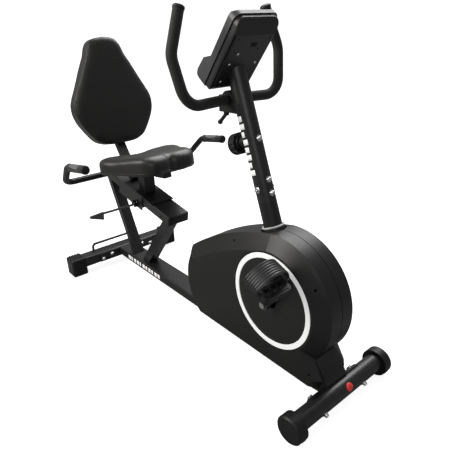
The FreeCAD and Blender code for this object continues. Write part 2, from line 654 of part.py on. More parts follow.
def clamp_base():
    low, split = 866.0, BAR_AXIS.z - 0.4
    body = box(54, 175, -CLAMP_HALF, CLAMP_HALF, low, split)
    back = prism([(125, low), (190, low), (160, 944), (125, 936)], -CLAMP_HALF, CLAMP_HALF)
    body = join(body, back)
    body = body.cut(mast_rod(MAST_R + 0.02, 700, 1000))
    body = body.cut(mast_front_side())
    body = body.cut(yrod(BAR_R + FIT, BAR_AXIS.x, BAR_AXIS.z, -60, 60))
    return body.cut(rod(BOLT_R + FIT, V(63, 0, 840), V(63, 0, 940)))


def mast_front_side():
    """Everything ahead of the mast's axis at the clamp's height."""
    foot, head = mast_point(800), mast_point(940)
    ahead = 120
    outline = [(foot.x, foot.z), (foot.x + ahead, foot.z), (head.x + ahead, head.z), (head.x, head.z)]
    return prism(outline, -60, 60)


def clamp_cap():
    split = BAR_AXIS.z + 0.4
    dome = yrod(28, BAR_AXIS.x, BAR_AXIS.z, -CLAMP_HALF, CLAMP_HALF)
    dome = dome.common(box(0, 124.6, -60, 60, split, 960))
    lip = soft(box(54, 96, -CLAMP_HALF, CLAMP_HALF, split, split + 13), 3, V(0, 1, 0))
    body = join(dome, lip)
    body = body.cut(yrod(BAR_R + FIT, BAR_AXIS.x, BAR_AXIS.z, -60, 60))
    body = body.cut(mast_rod(MAST_R + 0.4, 700, 1010))
    return body.cut(rod(BOLT_R + FIT, V(63, 0, 840), V(63, 0, 921)))


def clamp_knob():
    top = 865.6
    stem = rod(BOLT_R, V(63, 0, top - 4), V(63, 0, 916))
    hub = rod(9, V(63, 0, top - 14), V(63, 0, top))
    lever = rod(6, V(63, 0, top - 9), V(30, 0, 826))
    tip = Part.makeSphere(8.5, V(30, 0, 826))
    return join(stem, hub, lever, tip)


def knob_housing():
    base = mast_point(KNOB_AT)
    body = rod(20, base + MAST_REAR * 25, base + MAST_REAR * 54)
    body = join(body, rod(26, base + MAST_REAR * 46, base + MAST_REAR * 54))
    body = body.cut(mast_rod(MAST_R, 600, 900))
    return body.cut(rod(5 + FIT, base, base + MAST_REAR * 60))


def tension_knob():
    base = mast_point(KNOB_AT)
    body = rod(KNOB_R, base + MAST_REAR * 55, base + MAST_REAR * 84)
    flutes = []
    for step in range(12):
        angle = math.radians(30 * step)
        out = V(0, 1, 0) * math.cos(angle) + MAST_UP * math.sin(angle)
        centre = base + out * (KNOB_R + 2.5)
        flutes.append(rod(5, centre + MAST_REAR * 50, centre + MAST_REAR * 78))
    shaft = rod(5, base + MAST_REAR * 33, base + MAST_REAR * 56)
    return join(body.cut(group(flutes)), shaft)


# ---- console -------------------------------------------------------------------------------------
def console_profile(points, half, wall_y=0.0):
    """An extrusion across the console of (b, a) points: b towards its back, a up its face."""
    return prism(points, -half + wall_y, half - wall_y)


def console_back():
    outer = console_profile([(0, 0), (20, 0), (28, 14), (28, 198), (10, 243), (0, 243)], CONSOLE_HALF)
    outer = soft_far_edges(outer, 12).common(console_round(0))
    inner = console_profile([(-1, 2.5), (18, 2.5), (25.5, 15), (25.5, 197), (8, 240.5), (-1, 240.5)],
                            CONSOLE_HALF, 2.5)
    body = turned(outer.cut(inner.common(console_round(2.5))), CONSOLE_ORIGIN, CONSOLE_TILT)
    return body.cut(mast_rod(MAST_R + 0.4, 850, 1060)).cut(group(console_screw_holes()))


def console_round(inset, grow=0.0):
    """The console's front outline with its rounded corners, as a long bar along its thickness."""
    half, top = CONSOLE_HALF + grow - inset, CONSOLE_LENGTH + grow - inset
    bar = box(-80, 60, -half, half, -12 + inset, top)
    return soft(bar, CONSOLE_CORNER, V(1, 0, 0))


def soft_far_edges(shape, radius):
    """Round the two upright corners on the console's back."""
    edges = [e for e in shape.Edges if len(e.Vertexes) == 2
             and abs(e.Vertexes[0].Point.x - e.Vertexes[1].Point.x) < 0.1
             and e.Vertexes[0].Point.x > 20 and abs(e.Vertexes[0].Point.z - e.Vertexes[1].Point.z) > 100]
    return shape.makeFillet(radius, edges)


def console_screw_holes():
    return [turned(rod(2.2, V(10, y, a), V(40, y, a)), CONSOLE_ORIGIN, CONSOLE_TILT)
            for a, y in CONSOLE_SCREWS]


def console_front():
    outer = console_profile([(-0.1, -4), (-0.1, 247), (-14, 247), (-22, 236), (-22, 92), (-46, 66), (-50, 20),
                             (-44, 2), (-30, -6)], CONSOLE_HALF + 4)
    inner = console_profile([(1, 0), (1, 244), (-12, 244), (-19, 234), (-19, 90), (-43, 64), (-47, 20),
                             (-42, 4), (-29, -3)], CONSOLE_HALF + 4, 3)
    window = box(-30, -10, -62, 62, 112, 206)
    cutters = [window, box(-23, -20.5, -66, 66, 108, 210)]
    body = outer.common(console_round(0, 4)).cut(inner.common(console_round(3, 4)))
    body = join(body, box(-19.5, -16.5, -66, 66, 108, 210)).cut(group(cutters))
    for y in BUTTON_SPOTS:
        body = body.cut(rod(9.3, V(-60, y, 43), V(-30, y, 43)))
    return turned(body, CONSOLE_ORIGIN, CONSOLE_TILT)


def console_lens():
    return turned(box(-22.3, -20.6, -65.8, 65.8, 108.2, 209.8), CONSOLE_ORIGIN, CONSOLE_TILT)


def console_button(y):
    cap = rod(9, V(-52, y, 43), V(-42, y, 43))
    cap = cap.makeFillet(1.5, [e for e in cap.Edges if e.Closed and e.CenterOfMass.x < -51])
    return turned(cap, CONSOLE_ORIGIN, CONSOLE_TILT)


# ---- seat ----------------------------------------------------------------------------------------
def carriage():
    """The saddle that runs on the slide rail, with the seat's pedestal."""
    plates = [box(-400, -200, side * 53 - 2, side * 53 + 2, -66, 6) for side in SIDES]
    top = box(-405, -120, -55, 55, 0.6, 5.6)
    rods = [yrod(8, x, -54, -53, 53) for x in (-380, -216)]
    body = turned(join(top, *(plates + rods)), SLIDE_ORIGIN, SLIDE_TILT)
    pedestal = box(-530, -478, -26, 26, 440, 620).cut(box(-527, -481, -23, 23, 420, 640))
    pedestal = pedestal.cut(turned(box(-900, 300, -90, 90, -200, 3), SLIDE_ORIGIN, SLIDE_TILT))
    pedestal = pedestal.cut(turned(box(-300, 300, -90, 90, -7, 200), SEAT_ORIGIN, SEAT_TILT))
    flange = box(-144, -38, -64, 64, -10, -6.4)
    for x, y in SEAT_BOLTS:
        flange = flange.cut(rod(BOLT_HOLE_R, V(x, y, -20), V(x, y, 10)))
    pedestal = join(pedestal, turned(flange, SEAT_ORIGIN, SEAT_TILT))
    ears = []
    for x in (LEVER_AT.x - 12, LEVER_AT.x + 8):
        ears.append(box(x, x + 4, -72, -54, -62, -40))
    pin = rod(3, V(LEVER_AT.x - 12, LEVER_AT.y, LEVER_AT.z), V(LEVER_AT.x + 12, LEVER_AT.y, LEVER_AT.z))
    ears = turned(join(ears[0], ears[1], pin), SLIDE_ORIGIN, SLIDE_TILT)
    slot = turned(box(LEVER_AT.x - 7, LEVER_AT.x + 7, -60, -45, -70, -43), SLIDE_ORIGIN, SLIDE_TILT)
    return join(body.cut(slot), pedestal, ears)


def slide_lever():
    at = LEVER_AT
    arm = rod(5, V(at.x, -20, at.z), V(at.x, -214, at.z))
    eye = rod(7, V(at.x - 7, at.y, at.z), V(at.x + 7, at.y, at.z))
    lever = join(arm, eye).cut(rod(3 + FIT, V(at.x - 20, at.y, at.z), V(at.x + 20, at.y, at.z)))
    paddle = Part.makePolygon([V(at.x - 4, -214.2, at.z + 8), V(at.x - 4, -276, at.z + 3),
                               V(at.x - 4, -280, at.z - 4), V(at.x - 4, -270, at.z - 10),
                               V(at.x - 4, -214.2, at.z - 32), V(at.x - 4, -214.2, at.z + 8)])
    paddle = soft(Part.Face(paddle).extrude(V(8, 0, 0)), 2)
    return turned(group([lever, paddle]), SLIDE_ORIGIN, SLIDE_TILT)


def seat_pan():
    plate = soft(box(-150, 104, -104, 104, -6, -0.4), 40, V(0, 0, 1))
    plate = join(plate, soft(box(8, 84, -19, 19, -30, -5), 5, V(0, 0, 1)))
    for x, y in SEAT_BOLTS:
        plate = plate.cut(rod(BOLT_HOLE_R, V(x, y, -20), V(x, y, 10)))
    return turned(plate, SEAT_ORIGIN, SEAT_TILT)


def seat_outline(z):
    """Saddle outline: a wide rear and two thigh lobes with a notch between them."""
    right = [V(114, 0, z), V(138, -52, z), V(138, -92, z), V(104, -124, z), V(44, -146, z),
             V(-34, -172, z), V(-102, -194, z), V(-148, -186, z), V(-170, -140, z), V(-166, -60, z),
             V(-158, 0, z)]
    left = [V(p.x, -p.y, p.z) for p in right[-2:0:-1]]
    curve = Part.BSplineCurve()
    curve.interpolate(right + left, PeriodicFlag=True)
    return Part.Wire(curve.toShape())


def seat_cushion():
    body = Part.Face(seat_outline(0)).extrude(V(0, 0, 58))
    body = body.makeFillet(10, body.Edges)
    return turned(body, SEAT_ORIGIN, SEAT_TILT)


def backrest_post():
    """A rectangular tube in the plane y = 0, bent once."""
    body = prism(post_outline(13), -20, 20).cut(prism(post_outline(11), -18, 18))
    body = body.cut(turned(box(-900, 300, -90, 90, -200, 5.6), SLIDE_ORIGIN, SLIDE_TILT))
    body = body.cut(group(back_bolt_rods(BOLT_HOLE_R)))
    return body.cut(yrod(HANDLE_R, HANDLE_X, HANDLE_Z, -60, 60))


def post_outline(half):
    """The backrest post's side outline, bent once."""
    foot, knee, head = V(-609, 0, 486), V(-745.5, 0, 674), V(-779.5, 0, 884)
    first = (knee - foot).normalize()
    second = (head - knee).normalize()
    n1, n2 = V(-first.z, 0, first.x), V(-second.z, 0, second.x)
    mitre = (n1 + n2).normalize()
    mitre = mitre * (half / mitre.dot(n1))
    points = [foot + n1 * half, knee + mitre, head + n2 * half, head - n2 * half, knee - mitre,
              foot - n1 * half]
    return [(p.x, p.z) for p in points]


def back_bolt_rods(radius):
    """The rods of the two bolts that hold the backrest on its post."""
    return [turned(rod(radius, V(-81, 0, z), V(-43, 0, z)), BACK_ORIGIN, BACK_TILT) for z in BACK_BOLTS]


def seat_bolts():
    """Backrest bolts through the post and seat bolts up through the pedestal's flange."""
    bolts = []
    for shank, z in zip(back_bolt_rods(BOLT_R), BACK_BOLTS):
        head = turned(rod(8, V(-85.5, 0, z), V(-80, 0, z)), BACK_ORIGIN, BACK_TILT)
        behind = prism(post_outline(13), -20, 20)
        bolts.append(join(head.cut(behind), shank))
    for x, y in SEAT_BOLTS:
        head = rod(7, V(x, y, -14.5), V(x, y, -10.2))
        bolts.append(turned(join(head, rod(BOLT_R, V(x, y, -11), V(x, y, -0.5))), SEAT_ORIGIN, SEAT_TILT))
    return group(bolts)


def back_outline(x, shrink):
    """Backrest outline in its own frame: narrow at the top, widest below the middle, flat at the foot."""
    half = [(0, -22), (60, -20), (98, -8), (124, 12), (164, 72), (180, 112), (183, 150), (172, 186),
            (144, 240), (108, 312), (84, 356), (68, 396), (44, 418), (0, 424)]
    points = [V(x, -max(y - shrink, 0), z + (shrink if z < 200 else -shrink)) for y, z in half]
    left = [V(p.x, -p.y, p.z) for p in points[-2:0:-1]]
    curve = Part.BSplineCurve()
    curve.interpolate(points + left, PeriodicFlag=True)
    return Part.Wire(curve.toShape())


def backrest_cushion():
    body = Part.Face(back_outline(-40, 0)).extrude(V(40, 0, 0))
    body = turned(body.makeFillet(12, body.Edges), BACK_ORIGIN, BACK_TILT)
    return body.cut(prism(post_outline(14), -21, 21)).cut(group(back_bolt_rods(BOLT_R + 1)))


def backrest_shell():
    body = Part.Face(back_outline(-52, 6)).extrude(V(11.6, 0, 0))
    edges = [e for e in body.Edges if e.CenterOfMass.x < -51]
    body = turned(body.makeFillet(6, edges), BACK_ORIGIN, BACK_TILT)
    return body.cut(prism(post_outline(13.3), -20.5, 20.5)).cut(group(back_bolt_rods(BOLT_HOLE_R)))


def handle_points(side):
    return [V(HANDLE_X, side * 150, HANDLE_Z), V(HANDLE_X, side * 318, HANDLE_Z),
            V(-524, side * 333, 628), V(-362, side * 327, 650)]


def seat_handle():
    right, left = handle_points(-1), handle_points(1)
    points = right[::-1][:-1] + left[1:]
    wire = bend(points, [44, 42, 42, 44])
    return pipe(wire, HANDLE_R).cut(pipe(wire, HANDLE_R - 2))


def grip_line(side):
    bend_end, tip = handle_points(side)[2:]
    way = (tip - bend_end).normalize()
    return bend_end + way * 24, tip, way


def seat_grips():
    grips = []
    for side in SIDES:
        start, tip, way = grip_line(side)
        sleeve = rod(GRIP_R, start, tip + way * 3)
        sleeve = sleeve.makeFillet(3, [e for e in sleeve.Edges if e.Closed])
        grips.append(sleeve.cut(rod(HANDLE_R + 0.1, start - way, tip + way * 0.2)).cut(pulse_pocket(side, 0)))
    return group(grips)


def pulse_pocket(side, skim):
    """The shallow seat of a pulse plate on top of a grip."""
    start, tip, way = grip_line(side)
    first, last = start + way * (26 + skim), start + way * (104 - skim)
    ring = rod(GRIP_R + 1.2, first, last).cut(rod(GRIP_R - 1.0, first - way, last + way))
    centre = (first + last) * 0.5
    top = box(centre.x - 60, centre.x + 60, centre.y - 30, centre.y + 30, centre.z + 5, centre.z + 60)
    return ring.common(top)


def pulse_plates():
    return group([pulse_pocket(side, 0.2) for side in SIDES])


NODES = {
    "main_rail": main_rail, "rear_stabilizer": rear_stabilizer, "rear_caps": rear_caps,
    "rear_lift_handle": rear_lift_handle, "front_stabilizer": front_stabilizer, "front_caps": front_caps,
    "wheel_right": lambda: wheel(-1), "wheel_left": lambda: wheel(1), "front_neck": front_neck,
    "frame_bolts": frame_bolts, "seat_tube": seat_tube, "seat_strut": seat_strut,
    "slide_rail": slide_rail, "post_stub": post_stub, "front_post": front_post,
    "post_collar": post_collar, "cover_left": cover_half, "cover_right": lambda: mirror(cover_half()),
    "cover_rings": cover_rings, "case_screws": case_screws,
    "bearings": bearings, "crank_axle": crank_axle, "crank_right": lambda: crank_arm(-1),
    "crank_left": lambda: crank_arm(1), "drive_pulley": drive_pulley, "drive_belt": drive_belt,
    "flywheel": flywheel, "flywheel_axle": flywheel_axle, "flywheel_fork": flywheel_fork,
    "magnet_arm": magnet_arm, "tension_cable": lambda: cable_solid(2.5),
    "pedal_spindles": pedal_spindles, "pedal_right": lambda: place_pedal(pedal_local(), -1),
    "pedal_left": lambda: place_pedal(pedal_local(), 1),
    "strap_right": lambda: place_pedal(strap_local(), -1),
    "strap_left": lambda: place_pedal(strap_local(), 1),
    "handlebar": handlebar, "bar_foam": bar_foam, "clamp_base": clamp_base, "clamp_cap": clamp_cap,
    "clamp_knob": clamp_knob, "knob_housing": knob_housing, "tension_knob": tension_knob,
    "console_back": console_back, "console_front": console_front, "console_lens": console_lens,
    "button_mode": lambda: console_button(BUTTON_SPOTS[0]),
    "button_set": lambda: console_button(BUTTON_SPOTS[1]),
    "button_reset": lambda: console_button(BUTTON_SPOTS[2]),
    "carriage": carriage, "slide_lever": slide_lever, "seat_bolts": seat_bolts,
    "seat_pan": seat_pan, "seat_cushion": seat_cushion,
    "backrest_post": backrest_post, "backrest_shell": backrest_shell, "backrest_cushion": backrest_cushion,
    "seat_handle": seat_handle, "seat_grips": seat_grips, "pulse_plates": pulse_plates,
}

for name, make in NODES.items():
    save(name, make())
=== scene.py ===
import bpy, bmesh, json, math
from mathutils import Matrix, Vector


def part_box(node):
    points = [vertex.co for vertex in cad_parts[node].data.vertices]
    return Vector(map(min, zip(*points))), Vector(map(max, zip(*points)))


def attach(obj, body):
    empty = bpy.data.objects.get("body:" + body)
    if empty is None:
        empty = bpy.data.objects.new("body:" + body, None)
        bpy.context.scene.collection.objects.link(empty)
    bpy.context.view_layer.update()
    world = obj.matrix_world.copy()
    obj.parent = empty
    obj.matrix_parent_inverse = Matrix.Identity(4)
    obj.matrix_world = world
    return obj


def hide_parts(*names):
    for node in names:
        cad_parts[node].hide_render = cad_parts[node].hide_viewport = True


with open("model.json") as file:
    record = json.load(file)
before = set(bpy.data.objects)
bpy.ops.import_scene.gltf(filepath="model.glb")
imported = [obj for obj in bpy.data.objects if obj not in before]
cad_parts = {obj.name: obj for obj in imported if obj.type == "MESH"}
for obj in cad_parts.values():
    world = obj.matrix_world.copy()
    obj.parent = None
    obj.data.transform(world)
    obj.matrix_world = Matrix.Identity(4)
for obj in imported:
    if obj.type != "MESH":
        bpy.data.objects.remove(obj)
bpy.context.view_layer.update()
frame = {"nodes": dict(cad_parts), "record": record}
NODES = frame["nodes"]

# Recumbent exercise bike. Metres; +X forward, +Y to the rider's left, +Z up, floor at z = 0.

MM = 0.001
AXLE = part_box("crank_axle")
BASE_X = (AXLE[0][0] + AXLE[1][0]) / 2 - 0.343       # the CAD layout's datum in this frame


def at(x, y, z):
    """A point of the CAD layout, given in millimetres."""
    return Vector((x * MM + BASE_X, y * MM, z * MM))


def tilted(x, y, z, tilt):
    """The frame of a part that is tilted about Y and moved, as in the CAD layout."""
    return Matrix.Translation(at(x, y, z)) @ Matrix.Rotation(math.radians(tilt), 4, "Y")


SEAT = tilted(-408, 0, 574, -6.5)
BACK = tilted(-680, 0, 670, -9.2)
CONSOLE = tilted(60, 0, 953, 39)
SLIDE = tilted(-268, 0, 406, 11)
MAST_LEAN = math.radians(19.13)
MAST_UP = Vector((-math.sin(MAST_LEAN), 0, math.cos(MAST_LEAN)))
MAST_REAR = Vector((-math.cos(MAST_LEAN), 0, -math.sin(MAST_LEAN)))
MAST_FOOT_X, MAST_FOOT_Z = 429.9, 87
MAST_R = 30
CRANK_X, CRANK_Z, CRANK_REACH = 343, 310, 156
CRANK_ANGLE = math.radians(58.3)
PEDAL = (CRANK_X + CRANK_REACH * math.cos(CRANK_ANGLE), CRANK_Z + CRANK_REACH * math.sin(CRANK_ANGLE))
PEDAL_TILT = 22
PEDAL_Y = 172                                        # the middle of a pedal, out from the centre plane
LETTER = {-1: "r", 1: "l"}                           # the rider's right is -Y

# ---- camera, floor and light ---------------------------------------------------------------------
CAMERA_AT = at(1201.0, -952.7, 1114.9)
CAMERA_YAW, CAMERA_PITCH, CAMERA_ROLL = 140.77, -23.71, -2.18      # degrees; yaw from +X towards +Y
CAMERA_LENS = 36.19


def make_camera():
    yaw, pitch, roll = (math.radians(a) for a in (CAMERA_YAW, CAMERA_PITCH, CAMERA_ROLL))
    look = Vector((math.cos(yaw) * math.cos(pitch), math.sin(yaw) * math.cos(pitch), math.sin(pitch)))
    side = look.cross(Vector((0, 0, 1))).normalized()
    up = side.cross(look)
    right = side * math.cos(roll) + up * math.sin(roll)
    top = up * math.cos(roll) - side * math.sin(roll)
    data = bpy.data.cameras.new("camera")
    data.lens, data.sensor_width, data.clip_end = CAMERA_LENS, 36, 60
    camera = bpy.data.objects.new("camera", data)
    turn = Matrix((right, top, -look)).transposed().to_4x4()
    camera.matrix_world = Matrix.Translation(CAMERA_AT) @ turn
    bpy.context.scene.collection.objects.link(camera)
    bpy.context.scene.camera = camera


def area_light(name, place, target, size, power, colour=(1, 1, 1)):
    data = bpy.data.lights.new(name, "AREA")
    data.shape, data.size, data.size_y = "RECTANGLE", size[0], size[1]
    data.energy, data.color = power, colour
    lamp = bpy.data.objects.new(name, data)
    lamp.location = place
    lamp.rotation_euler = (Vector(target) - Vector(place)).to_track_quat("-Z", "Y").to_euler()
    bpy.context.scene.collection.objects.link(lamp)


SKY, SKY_SEEN = 0.24, 1.1               # strength of the surroundings as light, and to the camera
FLOOR_GLOW, FLOOR_TONE, FLOOR_DIM = 0.86, 0.5, 0.22
FLOOR_REACH, FLOOR_Z = 60, -0.0005


def make_studio():
    """Plain white surroundings and floor to the camera, and darker ones to light and reflections."""
    scene = bpy.context.scene
    scene.view_settings.view_transform = "Standard"
    world = bpy.data.worlds.new("studio")
    scene.world = world
    world.use_nodes = True
    nodes, links = world.node_tree.nodes, world.node_tree.links
    nodes["Background"].inputs["Color"].default_value = (1, 1, 1, 1)
    nodes["Background"].inputs["Strength"].default_value = SKY
    white = nodes.new("ShaderNodeBackground")
    white.inputs["Color"].default_value = (1, 1, 1, 1)
    white.inputs["Strength"].default_value = SKY_SEEN
    path, mix = nodes.new("ShaderNodeLightPath"), nodes.new("ShaderNodeMixShader")
    links.new(path.outputs["Is Camera Ray"], mix.inputs["Fac"])
    links.new(nodes["Background"].outputs[0], mix.inputs[1])
    links.new(white.outputs[0], mix.inputs[2])
    links.new(mix.outputs[0], nodes["World Output"].inputs["Surface"])
    mesh = bpy.data.meshes.new("floor")
    corners = [(x * FLOOR_REACH, y * FLOOR_REACH, FLOOR_Z) for x, y in ((-1, -1), (1, -1), (1, 1), (-1, 1))]
    mesh.from_pydata(corners, [], [(0, 1, 2, 3)])
    floor = bpy.data.objects.new("floor", mesh)
    scene.collection.objects.link(floor)
    paint = bpy.data.materials.new("floor_white")
    paint.use_nodes = True
    nodes, links = paint.node_tree.nodes, paint.node_tree.links
    nodes.remove(nodes["Principled BSDF"])
    pale, glow, seen = (nodes.new("ShaderNodeBsdfDiffuse"), nodes.new("ShaderNodeEmission"),
                        nodes.new("ShaderNodeAddShader"))
    pale.inputs["Color"].default_value = (FLOOR_TONE,) * 3 + (1,)
    glow.inputs["Strength"].default_value = FLOOR_GLOW
    dim = nodes.new("ShaderNodeBsdfDiffuse")
    dim.inputs["Color"].default_value = (FLOOR_DIM,) * 3 + (1,)
    path, mix = nodes.new("ShaderNodeLightPath"), nodes.new("ShaderNodeMixShader")
    links.new(pale.outputs[0], seen.inputs[0])
    links.new(glow.outputs[0], seen.inputs[1])
    links.new(path.outputs["Is Camera Ray"], mix.inputs["Fac"])
    links.new(dim.outputs[0], mix.inputs[1])
    links.new(seen.outputs[0], mix.inputs[2])
    links.new(mix.outputs[0], nodes["Material Output"].inputs["Surface"])
    mesh.materials.append(paint)
    sun = bpy.data.lights.new("sun", "SUN")
    sun.energy, sun.angle = 1.5, math.radians(40)
    lamp = bpy.data.objects.new("sun", sun)
    lamp.rotation_euler = Vector((0.35, -0.5, -1)).to_track_quat("-Z", "Y").to_euler()
    scene.collection.objects.link(lamp)
    area_light("key", at(-900, 1700, 2900), at(0, 0, 500), (2.2, 2.2), 70)
    area_light("front", at(2300, -2000, 2300), at(0, 0, 600), (1.6, 1.6), 20)
    area_light("side", at(-1300, -2300, 2300), at(0, 0, 500), (1.6, 2.0), 95, (1, 0.97, 0.93))


# ---- materials -----------------------------------------------------------------------------------
def surface(name, colour, rough, grain=0.0, grain_size=0.0006, metallic=0.0, vary=0.06, specular=0.5,
            coat=0.0, sheen=0.0, wear=0.0, glow=0.0):
    """A procedural finish: fine grain in the bump, soft clouds in colour and roughness, worn edges, and an
    optional faint glow that is painted light.
    """
    paint = bpy.data.materials.new(name)
    paint.use_nodes = True
    nodes, links = paint.node_tree.nodes, paint.node_tree.links
    bsdf = nodes["Principled BSDF"]
    where = nodes.new("ShaderNodeTexCoord")
    clouds = nodes.new("ShaderNodeTexNoise")
    clouds.inputs["Scale"].default_value = 9.0
    clouds.inputs["Detail"].default_value = 4.0
    links.new(where.outputs["Object"], clouds.inputs["Vector"])
    tone = nodes.new("ShaderNodeMix")
    tone.data_type = "RGBA"
    tone.inputs[6].default_value = [c * (1 - vary * 2) for c in colour] + [1]
    tone.inputs[7].default_value = [min(1, c * (1 + vary * 2) + vary * 0.004) for c in colour] + [1]
    links.new(clouds.outputs["Fac"], tone.inputs[0])
    base = tone.outputs[2]
    gloss = nodes.new("ShaderNodeMapRange")
    gloss.inputs["To Min"].default_value = max(0.03, rough - vary)
    gloss.inputs["To Max"].default_value = min(1, rough + vary)
    links.new(clouds.outputs["Fac"], gloss.inputs["Value"])
    links.new(gloss.outputs["Result"], bsdf.inputs["Roughness"])
    if wear:
        edge = nodes.new("ShaderNodeNewGeometry")
        scratch = nodes.new("ShaderNodeTexNoise")
        scratch.inputs["Scale"].default_value = 60
        links.new(where.outputs["Object"], scratch.inputs["Vector"])
        sharp = nodes.new("ShaderNodeMapRange")
        sharp.inputs["From Min"].default_value, sharp.inputs["From Max"].default_value = 0.53, 0.62
        links.new(edge.outputs["Pointiness"], sharp.inputs["Value"])
        worn = nodes.new("ShaderNodeMath")
        worn.operation = "MULTIPLY"
        links.new(sharp.outputs["Result"], worn.inputs[0])
        links.new(scratch.outputs["Fac"], worn.inputs[1])
        lift = nodes.new("ShaderNodeMix")
        lift.data_type = "RGBA"
        lift.inputs[7].default_value = [min(1, c + wear) for c in colour] + [1]
        links.new(worn.outputs[0], lift.inputs[0])
        links.new(base, lift.inputs[6])
        base = lift.outputs[2]
    links.new(base, bsdf.inputs["Base Color"])
    if grain:
        fine = nodes.new("ShaderNodeTexNoise")
        fine.inputs["Scale"].default_value = 1 / grain_size
        fine.inputs["Detail"].default_value = 2
        links.new(where.outputs["Object"], fine.inputs["Vector"])
        bump = nodes.new("ShaderNodeBump")
        bump.inputs["Strength"].default_value = grain
        bump.inputs["Distance"].default_value = 0.0006
        links.new(fine.outputs["Fac"], bump.inputs["Height"])
        links.new(bump.outputs["Normal"], bsdf.inputs["Normal"])
    bsdf.inputs["Metallic"].default_value = metallic
    bsdf.inputs["Specular IOR Level"].default_value = specular
    bsdf.inputs["Coat Weight"].default_value = coat
    bsdf.inputs["Coat Roughness"].default_value = 0.2
    bsdf.inputs["Sheen Weight"].default_value = sheen
    # glow is painted light: an emission that makes a surface brighter than the lamps light it.
    bsdf.inputs["Emission Color"].default_value = (1, 1, 1, 1)
    bsdf.inputs["Emission Strength"].default_value = glow
    return paint


FINISH = {
    "frame_black": surface("frame_black", (0.007, 0.007, 0.0072), 0.34, 0.12, 0.0009, wear=0.015,
                           specular=0.42),
    "plastic_black": surface("plastic_black", (0.006, 0.006, 0.0062), 0.45, 0.25, 0.0007, specular=0.35),
    "cover_black": surface("cover_black", (0.0075, 0.0075, 0.0075), 0.42, 0.22, 0.0006, specular=0.42),
    # ring_white glows faintly (glow 0.25): painted light that brightens the cover's white ring.
    "ring_white": surface("ring_white", (0.86, 0.87, 0.87), 0.4, 0.05, 0.001, vary=0.02, glow=0.25),
    "bolt_silver": surface("bolt_silver", (0.75, 0.75, 0.76), 0.22, 0.05, 0.0012, metallic=1),
    "screw_black": surface("screw_black", (0.05, 0.05, 0.052), 0.35, 0.1, 0.001, metallic=0.9),
    "steel": surface("steel", (0.5, 0.5, 0.51), 0.32, 0.1, 0.001, metallic=1),
    "iron": surface("iron", (0.08, 0.08, 0.082), 0.55, 0.4, 0.0012, metallic=0.8),
    "crank_black": surface("crank_black", (0.008, 0.008, 0.0085), 0.25, 0.05, 0.001, coat=0.4, wear=0.03),
    "belt_rubber": surface("belt_rubber", (0.015, 0.015, 0.015), 0.7, 0.3, 0.0008),
    "tyre_rubber": surface("tyre_rubber", (0.02, 0.02, 0.021), 0.6, 0.3, 0.0008),
    "foam": surface("foam", (0.010, 0.0098, 0.0095), 0.7, 0.8, 0.0011, specular=0.35, sheen=0.1),
    "strap": surface("strap", (0.015, 0.015, 0.016), 0.4, 0.2, 0.0008),
    "vinyl": surface("vinyl", (0.012, 0.0118, 0.0112), 0.4, 0.4, 0.0012, specular=0.42, sheen=0.05),
    "shell": surface("shell", (0.012, 0.012, 0.0125), 0.5, 0.3, 0.0008),
    "chrome_plate": surface("chrome_plate", (0.8, 0.8, 0.82), 0.14, 0.02, 0.002, metallic=1, vary=0.03),
    "console_grey": surface("console_grey", (0.05, 0.05, 0.052), 0.4, 0.2, 0.0007),
    "console_black": surface("console_black", (0.012, 0.012, 0.0125), 0.42, 0.2, 0.0007),
    "lens": surface("lens", (0.04, 0.045, 0.045), 0.08, 0.0, coat=0.6),
    "button_grey": surface("button_grey", (0.4, 0.4, 0.42), 0.45, 0.1, 0.0008),
    "lever_grey": surface("lever_grey", (0.08, 0.082, 0.085), 0.4, 0.15, 0.0009),
    "vinyl_trim": surface("vinyl_trim", (0.010, 0.010, 0.011), 0.4, 0.3, 0.001, specular=0.35),
    # recess is near black with little shine: painted shade inside the console's holes and port, and the dark
    # print of the display segments.
    "recess": surface("recess", (0.004, 0.004, 0.004), 0.6, 0.1, 0.001, specular=0.2),
    # mark_white glows faintly (glow 0.25): painted light that brightens the white lettering blocks.
    "mark_white": surface("mark_white", (0.88, 0.88, 0.88), 0.45, 0.05, 0.001, vary=0.02, glow=0.25),
    "mark_red": surface("mark_red", (0.75, 0.05, 0.04), 0.4, 0.05, 0.001, vary=0.04),
    # rim_grey is a painted highlight: mid grey on the collar's black lip for the light along its edge.
    "rim_grey": surface("rim_grey", (0.5, 0.5, 0.5), 0.45, 0.1, 0.001, vary=0.03),
}


def finish_cad_nodes():
    slots = {part["node"]: part["material_slot"] for part in frame["record"]["subparts"]}
    for node, piece in NODES.items():
        piece.data.materials.clear()
        piece.data.materials.append(FINISH[slots[node]])


# ---- mesh helpers --------------------------------------------------------------------------------
def piece(name, verts, faces, slot, body):
    """A smooth-shaded mesh that rides on a body and belongs to a material slot."""
    mesh = bpy.data.meshes.new(name)
    mesh.from_pydata([tuple(v) for v in verts], [], faces)
    work = bmesh.new()
    work.from_mesh(mesh)
    bmesh.ops.recalc_face_normals(work, faces=work.faces[:])
    work.to_mesh(mesh)
    work.free()
    obj = bpy.data.objects.new(name, mesh)
    bpy.context.scene.collection.objects.link(obj)
    mesh.materials.append(FINISH[slot])
    mesh.polygons.foreach_set("use_smooth", [True] * len(mesh.polygons))
    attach(obj, body)
    return obj


def loft(rings):
    """Vertices and faces of a closed skin over rings with equal point counts, with both ends filled."""
    count = len(rings[0])
    verts = [p for ring in rings for p in ring]
    faces = []
    for row in range(len(rings) - 1):
        for k in range(count):
            a, b = row * count + k, row * count + (k + 1) % count
            faces.append((a, b, b + count, a + count))
    faces.append(tuple(range(count))[::-1])
    faces.append(tuple(range(len(verts) - count, len(verts))))
    return verts, faces


